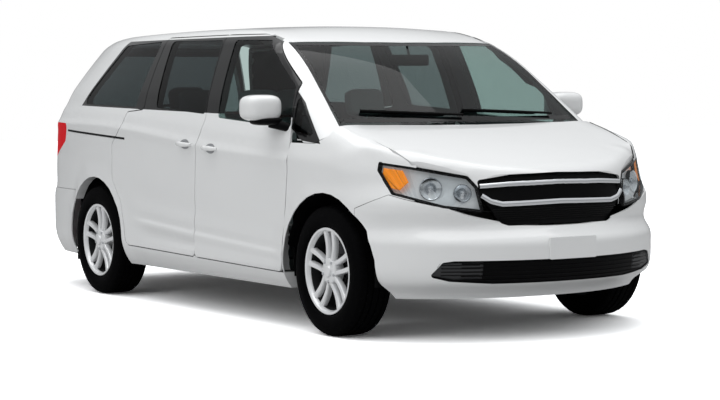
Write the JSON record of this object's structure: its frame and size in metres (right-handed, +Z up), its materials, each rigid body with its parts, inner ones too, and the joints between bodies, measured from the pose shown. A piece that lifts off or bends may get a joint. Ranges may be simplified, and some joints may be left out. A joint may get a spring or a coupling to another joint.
{
  "type": "minivan",
  "caption": "White three-row minivan with hinged front doors, sliding rear doors, bonnet, tailgate, steered front wheels and a furnished hollow cabin.",
  "frame": {"origin": "middle of the bounding box, on the ground under the tyres", "axes": "+X towards the front of the vehicle, +Y to its left, +Z up"},
  "size_m": [5.1544, 2.372, 1.7455],
  "materials": {
    "body_paint": "pearl white gloss paint",
    "clear_glass": "polished, faint green tint",
    "dark_glass": "polished privacy tint",
    "lamp_lens": "clear polycarbonate over bright reflectors",
    "red_lens": "clear red acrylic",
    "black_plastic": "grained black",
    "trim_plastic": "soft grained dark grey",
    "seat_cloth": "woven grey cloth",
    "floor_steel": "dark underbody coating",
    "cast_metal": "cast",
    "chassis_steel": "black chassis paint",
    "exhaust_steel": "dull steel",
    "tyre": "black rubber",
    "wheel_alloy": "silver lacquer"
  },
  "bodies": {
    "chassis": {"front_bumper": "body_paint", "rear_bumper": "body_paint", "fender_left": "body_paint", "fender_right": "body_paint", "roof": "body_paint", "side_frame_left": "body_paint", "side_frame_right": "body_paint", "sliding_door_left": "body_paint", "sliding_door_right": "body_paint", "windscreen": "clear_glass", "side_glass": "dark_glass", "headlamps": "lamp_lens", "tail_lamps": "red_lens", "grilles": "black_plastic", "floor_pan": "floor_steel", "arch_liners": "black_plastic", "dashboard": "trim_plastic", "steering_wheel": "trim_plastic", "front_seats": "seat_cloth", "middle_seats": "seat_cloth", "rear_seats": "seat_cloth", "engine_block": "cast_metal", "front_subframe": "chassis_steel", "rear_axle": "chassis_steel", "exhaust": "exhaust_steel", "fuel_tank": "black_plastic"},
    "front_door_left": {"front_door_left": "body_paint", "front_door_glass_left": "clear_glass", "mirror_left": "body_paint"},
    "front_door_right": {"front_door_right": "body_paint", "front_door_glass_right": "clear_glass", "mirror_right": "body_paint"},
    "bonnet": {"hood": "body_paint"},
    "tailgate": {"tailgate": "body_paint", "tailgate_glass": "dark_glass"},
    "steer_left": {"knuckle_left": "cast_metal"},
    "steer_right": {"knuckle_right": "cast_metal"},
    "wheel_front_left": {"tyre_front_left": "tyre", "rim_front_left": "wheel_alloy"},
    "wheel_front_right": {"tyre_front_right": "tyre", "rim_front_right": "wheel_alloy"},
    "wheel_rear_left": {"tyre_rear_left": "tyre", "rim_rear_left": "wheel_alloy"},
    "wheel_rear_right": {"tyre_rear_right": "tyre", "rim_rear_right": "wheel_alloy"}
  },
  "joints": [
    {"name": "front_door_left_hinge", "type": "hinge", "parent": "chassis", "child": "front_door_left", "pos_m": [1.135, 0.962, 0.675], "axis": [0, 0, -1], "range_deg": [0, 65]},
    {"name": "front_door_right_hinge", "type": "hinge", "parent": "chassis", "child": "front_door_right", "pos_m": [1.135, -0.962, 0.675], "axis": [0, 0, 1], "range_deg": [0, 65]},
    {"name": "bonnet_hinge", "type": "hinge", "parent": "chassis", "child": "bonnet", "pos_m": [1.59, 0, 1.105], "axis": [0, -1, 0], "range_deg": [0, 45]},
    {"name": "tailgate_hinge", "type": "hinge", "parent": "chassis", "child": "tailgate", "pos_m": [-2.032, 0, 1.68619], "axis": [0, 1, 0], "range_deg": [0, 80]},
    {"name": "steer_left_pivot", "type": "hinge", "parent": "chassis", "child": "steer_left", "pos_m": [1.622, 0.785, 0.36], "axis": [0, 0, 1], "range_deg": [-35, 35]},
    {"name": "steer_right_pivot", "type": "hinge", "parent": "chassis", "child": "steer_right", "pos_m": [1.622, -0.785, 0.36], "axis": [0, 0, 1], "range_deg": [-35, 35]},
    {"name": "wheel_front_left_spin", "type": "hinge", "parent": "steer_left", "child": "wheel_front_left", "pos_m": [1.622, 0.865, 0.36], "axis": [0, 1, 0], "continuous": true},
    {"name": "wheel_front_right_spin", "type": "hinge", "parent": "steer_right", "child": "wheel_front_right", "pos_m": [1.622, -0.865, 0.36], "axis": [0, 1, 0], "continuous": true},
    {"name": "wheel_rear_left_spin", "type": "hinge", "parent": "chassis", "child": "wheel_rear_left", "pos_m": [-1.378, 0.865, 0.36], "axis": [0, 1, 0], "continuous": true},
    {"name": "wheel_rear_right_spin", "type": "hinge", "parent": "chassis", "child": "wheel_rear_right", "pos_m": [-1.378, -0.865, 0.36], "axis": [0, 1, 0], "continuous": true}
  ],
  "couplings": [
    {"joint": "steer_right_pivot", "follows": "steer_left_pivot", "ratio": 1}
  ]
}
